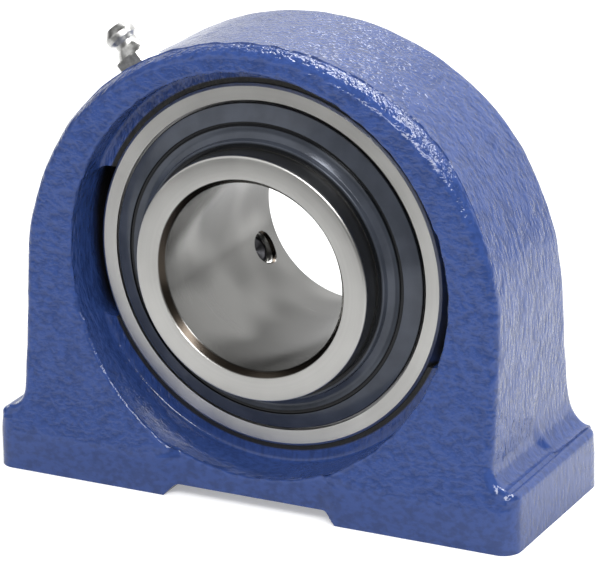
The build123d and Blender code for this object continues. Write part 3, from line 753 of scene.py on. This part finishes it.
def roughened(mesh, sizes):
    """Moves the cast skin along its normals by a field of soft waves and leaves the machined parts alone."""
    count = len(mesh.vertices)
    spots = np.empty(count * 3)
    mesh.vertices.foreach_get("co", spots)
    spots = spots.reshape(-1, 3)
    normals = np.empty(count * 3)
    mesh.vertex_normals.foreach_get("vector", normals)
    radius = np.hypot(spots[:, 0], spots[:, 2] - sizes.centre_height)
    cast = smooth(sizes.pocket_radius - 1.2 * MM, sizes.pocket_radius + 0.6 * MM, radius)
    cast *= 0.35 + 0.65 * smooth(12 * MM, 34 * MM, spots[:, 2])
    field = 0.6 * waves(spots, wavelength=9 * MM, seed=5) + 0.4 * waves(spots, wavelength=4.2 * MM, seed=6)
    spots = spots + normals.reshape(-1, 3) * (field * cast * sizes.relief)[:, None]
    low, high = np.array(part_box("housing"))
    spots = np.clip(spots, low * (1, 1, 0) - (0, 0, 1), high)
    mesh.vertices.foreach_set("co", spots.ravel())
    mesh.update()
    return mesh


def prism(name, corners, half_length):
    """A closed prism along Y over a profile in X and Z, with each end drawn together to its middle."""
    middle = corners.mean(0)
    rows = []
    for size, side in ((0, -1), (1, -1), (1, 1), (0, 1)):
        rows.append(np.insert(middle + (corners - middle) * size, 1, side * half_length, axis=1))
    return closed_mesh(name, np.stack(rows))


def drill_cutter(sizes, side):
    """A tapped mounting hole: a bore with a drill point, turned about an upright axis."""
    profile = MM * np.array([(-2, 0), (-2, 6), (24, 6), (27.6, 0)])
    points = turned(profile, (side * sizes.bolt_half, 0, 0), (0, 0, 1), 64)
    return closed_mesh("drill", points)


def outward(angle):
    """The unit vector away from the bearing axis at an angle from +X towards +Z."""
    return Vector((math.cos(angle), 0, math.sin(angle)))


class MakeHousing(bpy.types.Operator):
    """Casts the housing skin, roughens it, machines the base and drills its holes"""

    bl_idname = "pillow_block.housing"
    bl_label = "Housing"

    def execute(self, context):
        sizes = context.scene.pillow_housing
        nipple = context.scene.pillow_nipple
        mesh = roughened(closed_mesh("housing_skin", housing_grid(sizes)), sizes)
        wide = 2 * sizes.arch_radius
        slab = np.array([(-wide, -SLAB), (wide, -SLAB), (wide, 0), (-wide, 0)])
        mesh = carved(mesh, prism("slab", slab, 50 * MM))
        half, up = sizes.channel_half, sizes.channel_height
        low, high = half + sizes.channel_slope, half - sizes.channel_slope
        radii = MM * np.array([0.1, 0.1, 1.8, 1.8])
        channel = rounded([(-low, -up), (low, -up), (high, up), (-high, up)], radii)
        axis = outward(nipple.angle)
        start = axis * nipple.seat + Vector((0, nipple.offset, sizes.centre_height - sizes.arch_drop))
        spot = [(4, 0), (4, 6), (0, 6), (0, 3), (-6.6, 3), (-6.6, 1.5), (-12.5, 1.5), (-12.5, 0)]
        cutters = [
            prism("channel", channel, 30 * MM),
            drill_cutter(sizes, -1),
            drill_cutter(sizes, 1),
            closed_mesh("spot_face", turned(MM * np.array(spot), start, axis, 64)),
        ]
        mesh = carved(mesh, joined("cutters", cutters))
        piece("housing_skin", mesh, "housing", enamel(sizes), ["housing"])
        return {"FINISHED"}


def raceway(centre, side, swing):
    """Section of a raceway from back to front: an arc that bulges out where side is 1 and in where it is -1."""
    angle = np.linspace(-swing, swing, 25)[::-1]
    return np.stack([RACE_RADIUS * np.sin(angle), centre + side * RACE_RADIUS * np.cos(angle)], -1)


def outer_ring_profile(sizes):
    """Section of the outer ring as (offset, radius): a spherical outside with a grease groove in it, a recess
    for a seal on each side and the raceway."""
    outer, half, edge = sizes.outer_radius, sizes.outer_half, 0.4 * MM
    swing = math.asin((half - edge) / outer)
    bulge = np.linspace(-swing, swing, 41)
    sphere = outer * np.stack([np.sin(bulge), np.cos(bulge)], -1)
    start, end, depth = 1.7 * MM, 6.7 * MM, 0.8 * MM
    bottom = math.sqrt(outer**2 - ((start + end) / 2) ** 2) - depth
    sides = [math.sqrt(outer**2 - offset**2) for offset in (start, end)]
    groove = [(start, sides[0]), (start, bottom), (end, bottom), (end, sides[1])]
    before, after = sphere[sphere[:, 0] < start], sphere[sphere[:, 0] > end]
    face = math.sqrt(outer**2 - half**2) - edge
    seal, shoulder, inside = sizes.seal_seat, half - 2.9 * MM, 34 * MM
    right = [(half, face), (half, seal), (shoulder, seal), (shoulder, inside)]
    left = [(-offset, radius) for offset, radius in right[::-1]]
    return np.concatenate([before, groove, after, right, raceway(PITCH_RADIUS - RACE_SHIFT, 1, 0.81), left])


def inner_ring_profile(sizes):
    """Section of the inner ring as (offset, radius): a chamfered bore, rounded outer edges and the raceway."""
    bore, out = sizes.bore_radius, sizes.inner_radius
    front, back = -sizes.inner_front, sizes.inner_back
    wide, deep = 1.2 * MM, 1.6 * MM
    corners = [(front, out), (front, bore + wide), (front + deep, bore)]
    corners += [(back - deep, bore), (back, bore + wide), (back, out)]
    shape = rounded(corners, MM * np.array([0.7, 0.15, 0.15, 0.15, 0.15, 0.7]))
    return np.concatenate([shape, raceway(PITCH_RADIUS + RACE_SHIFT, -1, 0.87)])


class MakeRings(bpy.types.Operator):
    """Turns the outer ring and the inner ring, and taps the set screw holes"""

    bl_idname = "pillow_block.rings"
    bl_label = "Bearing rings"

    def execute(self, context):
        sizes = context.scene.pillow_insert
        height = context.scene.pillow_housing.centre_height
        steel = ground_steel(sizes, height)
        origin, axis = (0, 0, height), (0, 1, 0)
        mesh = closed_mesh("outer_ring", turned(outer_ring_profile(sizes), origin, axis, sizes.segments))
        piece("outer_ring_turned", mesh, "outer_ring", steel, ["outer_ring"])
        mesh = closed_mesh("inner_ring", turned(inner_ring_profile(sizes), origin, axis, sizes.segments))
        cutters = [
            tapped_hole(sizes, height, sizes.screw_angle + number * sizes.screw_step) for number in range(2)
        ]
        mesh = carved(mesh, joined("taps", cutters))
        piece("inner_ring_turned", mesh, "inner_ring", steel, ["inner_ring"])
        return {"FINISHED"}


def tapped_hole(sizes, height, angle):
    """A threaded hole as a cutter: its radius goes up and down once for each pitch of height, and the height
    at which it does so climbs one pitch in each turn."""
    axis = outward(angle)
    side = Vector((0, 1, 0))
    turns = spaced(0, 2 * np.pi, 72)
    spare, core, depth = 2 * MM, 3.45 * MM, 0.5 * MM
    rise = np.linspace(sizes.bore_radius - spare, sizes.inner_radius + spare, 90)
    phase = (rise[:, None] / sizes.thread_pitch - turns[None] / (2 * np.pi)) % 1
    radius = core + depth * (1 - np.abs(2 * phase - 1))
    base = np.array((0, sizes.screw_offset, height)) + rise[:, None] * np.array(axis)
    wall = base[:, None, :] + radius[..., None] * spokes(turns, side, axis.cross(side))[None]
    ends = [np.repeat(base[row][None, None], len(turns), 1) for row in (0, -1)]
    return closed_mesh("tap", np.concatenate([ends[0], wall, ends[1]]))


class MakeFlingers(bpy.types.Operator):
    """Turns the dished flingers at the front and the back"""

    bl_idname = "pillow_block.flingers"
    bl_label = "Flingers"

    def execute(self, context):
        sizes = context.scene.pillow_insert
        height = context.scene.pillow_housing.centre_height
        coating = satin_coating(sizes, height)
        rim, bore, lip = sizes.flinger_radius / MM, sizes.inner_radius / MM + 0.01, sizes.lip_radius / MM
        inner, outer = sizes.groove_inner / MM, sizes.groove_outer / MM
        corners = [
            (12.3, inner), (11.8, inner), (11.8, outer), (12.3, outer), (10.7, rim - 0.1), (10.4, rim),
            (9.8, rim), (11.4, inner - 0.2), (11.4, lip), (9.7, lip), (9.7, bore), (13.8, bore),
            (13.8, 27.6), (12.7, 27.9), (11.95, 29.1),
        ]
        radii = [0.08, 0.1, 0.1, 0.15, 0.08, 0.1, 0.2, 0.3, 0.2, 0.1, 0.1, 0.15, 0.3, 0.2, 0.8]
        section = rounded(MM * np.array(corners), MM * np.array(radii))
        for side, name in ((-1, "front"), (1, "back")):
            points = turned(section * (side, 1), (0, 0, height), (0, 1, 0), sizes.segments)
            mesh = closed_mesh("flinger_" + name, points, math.radians(40))
            piece("flinger_turned_" + name, mesh, "inner_ring", coating, ["flinger_" + name])
        return {"FINISHED"}


class MakeNipple(bpy.types.Operator):
    """Makes the grease nipple's hexagon, neck, head and passage"""

    bl_idname = "pillow_block.nipple"
    bl_label = "Grease nipple"

    def execute(self, context):
        sizes = context.scene.pillow_nipple
        housing = context.scene.pillow_housing
        height = housing.centre_height - housing.arch_drop
        axis = outward(sizes.angle)
        corners = [
            (-6, 0.6), (-6, 2.95), (0, 2.95), (0, 4.7), (0.4, 5.2), (3.4, 5.2), (3.8, 4.6), (3.8, 3.8),
            (5.8, 2.45), (6.9, 2.45), (7.7, 3.35), (9, 3.35), (10.7, 1.7), (10.7, 0.7), (10.1, 0.7),
            (10.1, 1.08), (3.9, 1.08), (3.9, 0.6),
        ]
        radii = [0.1, 0.2, 0.1, 0.1, 0.1, 0.1, 0.1, 0.2, 0.6, 0.3, 0.3, 0.3, 0.6, 0.1, 0.1, 0.1, 0.1, 0.1]
        profile = rounded(MM * np.array(corners), MM * np.array(radii), 5)
        start = axis * sizes.seat + Vector((0, sizes.offset, height))
        points = turned(profile, (0, 0, 0), axis, 120)
        side = axis.orthogonal().normalized()
        around = np.arctan2(points @ np.array(axis.cross(side)), points @ np.array(side))
        flat = sizes.hexagon / np.cos((around + np.pi / 6) % (np.pi / 3) - np.pi / 6)
        inline = (points @ np.array(axis))[..., None] * np.array(axis)
        spoke = points - inline
        radius = np.linalg.norm(spoke, axis=-1)
        points = inline + spoke * (np.minimum(radius, flat) / radius)[..., None] + np.array(start)
        mesh = closed_mesh("nipple", points, math.radians(28))
        zinc = plain_metal("zinc_plate", sizes.plating, 0.22, 0.2, 0.0009)
        piece("grease_nipple", mesh, "housing", zinc, ["nipple_body"])
        for name in ("nipple_ball", "nipple_spring"):
            refinish(name, zinc)
        return {"FINISHED"}


def refinish(name, material):
    """Gives a CAD node a finished material in place of its plain one."""
    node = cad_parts[name]
    for holder in node.material_slots:
        holder.material = material
    if not node.material_slots:
        node.data.materials.append(material)


class FinishInside(bpy.types.Operator):
    """Gives the balls, the cage, the seals and the set screws their finishes"""

    bl_idname = "pillow_block.inside"
    bl_label = "Balls, cage, seals and set screws"

    def execute(self, context):
        polished = plain_metal("polished_steel", (0.78, 0.78, 0.78), 0.05, 0.04, 0.004)
        pressed = plain_metal("cage_steel", (0.55, 0.54, 0.52), 0.3, 0.15, 0.003)
        carrier = plain_metal("carrier_steel", (0.42, 0.42, 0.43), 0.32, 0.15, 0.004)
        blackened = plain_metal("blackened_steel", (0.055, 0.055, 0.06), 0.35, 0.15, 0.002)
        rubber = black_rubber()
        finishes = {
            "ball_": polished,
            "cage_": pressed,
            "seal_carrier": carrier,
            "seal_lip": rubber,
            "set_screw": blackened,
        }
        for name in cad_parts:
            for start, material in finishes.items():
                if name.startswith(start):
                    refinish(name, material)
        return {"FINISHED"}


def softbox(name, place, aim, width, depth, power):
    """A rectangular lamp that faces a point."""
    lamp = bpy.data.lights.new(name, "AREA")
    lamp.shape = "RECTANGLE"
    lamp.size, lamp.size_y, lamp.energy = width, depth, power
    item = placed(name, lamp)
    item.location = place
    item.rotation_euler = (Vector(place) - Vector(aim)).to_track_quat("Z", "Y").to_euler()


def pale_floor():
    """A pale floor that takes the object's shadow. It looks white to the camera. Reflections see it light
    beside the object, grey in front of it and dark far in front."""
    material = bpy.data.materials.new("floor")
    material.use_nodes = True
    f = Nodes(material.node_tree)
    f.tree.nodes.remove(f.tree.nodes["Principled BSDF"])
    along = f.split(f.place(), "Y")
    fade = along.ramp(-0.04, 0.04, 0.4, 0.77) * along.ramp(-0.22, -0.19, 0.2, 1.0)
    pale = f.matt((0.8, 0.8, 0.8, 1))
    plain = f.mixed(f.rays("Camera"), pale, f.glowing(pale, 0.35))
    mirrored = f.glowing(f.matt(fade), 0.45 * fade)
    surface = f.mixed(f.rays("Glossy"), plain, mirrored)
    f.tree.links.new(surface.socket, f.tree.nodes["Material Output"].inputs["Surface"])
    return material


def studio_world():
    """A white world that reflections see bright behind the object and dark in front of it and above."""
    world = bpy.data.worlds.new("studio")
    world.use_nodes = True
    f = Nodes(world.node_tree)
    direction = f.node("ShaderNodeTexCoord", "Generated", {}, {})
    behind = f.split(direction, "Y").step(0.4, 0.8, 0.12, 1.2)
    plain = f.rays("Camera").ramp(0, 1, 0.46, 1.0)
    seen = f.node("ShaderNodeMix", 0, {}, {0: f.rays("Glossy"), 2: plain, 3: behind})
    background = f.tree.nodes["Background"]
    background.inputs["Color"].default_value = (1, 1, 1, 1)
    f.tree.links.new(seen.socket, background.inputs["Strength"])
    return world


class SetStage(bpy.types.Operator):
    """Lays the floor and sets the lamps, the world and the camera"""

    bl_idname = "pillow_block.stage"
    bl_label = "Stage"

    def execute(self, context):
        scene = context.scene
        sizes = scene.pillow_stage
        scene.view_settings.view_transform = "Standard"
        floor = bpy.data.meshes.new("floor")
        floor.from_pydata([(-3, -3, 0), (3, -3, 0), (3, 3, 0), (-3, 3, 0)], [], [(0, 1, 2, 3)])
        floor.materials.append(pale_floor())
        placed("floor", floor)

        scene.world = studio_world()
        aim = (0, 0, 0.08)
        softbox("back_strip", (0.15, 0.36, 0.66), aim, width=1.0, depth=0.1, power=6.0)
        softbox("front_strip", (0.36, -0.45, 0.64), aim, width=0.8, depth=0.18, power=5.5)
        softbox("left_front", (-0.6, -0.6, 0.6), aim, width=1.2, depth=1.2, power=3.0)

        lens = bpy.data.cameras.new("camera")
        lens.lens = sizes.lens
        lens.sensor_width = 36
        lens.clip_start, lens.clip_end = 0.01, 20
        az, el = sizes.azimuth, sizes.elevation
        away = Vector((math.sin(az) * math.cos(el), -math.cos(az) * math.cos(el), math.sin(el)))
        level = Vector((0, 0, 1)).cross(away).normalized()
        upward = away.cross(level)
        cos, sin = math.cos(sizes.roll), math.sin(sizes.roll)
        right, up = cos * level + sin * upward, cos * upward - sin * level
        scene.camera = placed("camera", lens)
        scene.camera.matrix_world = Matrix((right, up, away)).transposed().to_4x4()
        scene.camera.location = Vector((sizes.target_x, 0, sizes.target_z)) + away * sizes.distance
        return {"FINISHED"}


class PillowBlockPanel(bpy.types.Panel):
    """Lists the steps that build the pillow block and its stage"""

    bl_idname = "VIEW3D_PT_pillow_block"
    bl_label = "Pillow block bearing"
    bl_space_type = "VIEW_3D"
    bl_region_type = "UI"
    bl_category = "Pillow block"

    def draw(self, context):
        for step in STEPS:
            self.layout.operator(step.bl_idname)


GROUPS = {
    "pillow_housing": HousingSizes,
    "pillow_insert": InsertSizes,
    "pillow_nipple": NippleSizes,
    "pillow_stage": StageSizes,
}
STEPS = [MakeHousing, MakeRings, MakeFlingers, MakeNipple, FinishInside, SetStage]


def register():
    """Registers the classes and hangs the settings on the scene."""
    for kind in [*GROUPS.values(), *STEPS, PillowBlockPanel]:
        bpy.utils.register_class(kind)
    for name, group in GROUPS.items():
        setattr(bpy.types.Scene, name, PointerProperty(type=group))


def unregister():
    """Takes the settings off the scene and removes the classes."""
    for name in GROUPS:
        delattr(bpy.types.Scene, name)
    for kind in [PillowBlockPanel, *reversed(STEPS), *reversed(GROUPS.values())]:
        bpy.utils.unregister_class(kind)


def main():
    """Registers the add-on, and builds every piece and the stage."""
    register()
    bpy.ops.pillow_block.housing()
    bpy.ops.pillow_block.rings()
    bpy.ops.pillow_block.flingers()
    bpy.ops.pillow_block.nipple()
    bpy.ops.pillow_block.inside()
    bpy.ops.pillow_block.stage()


if __name__ == "__main__":
    main()
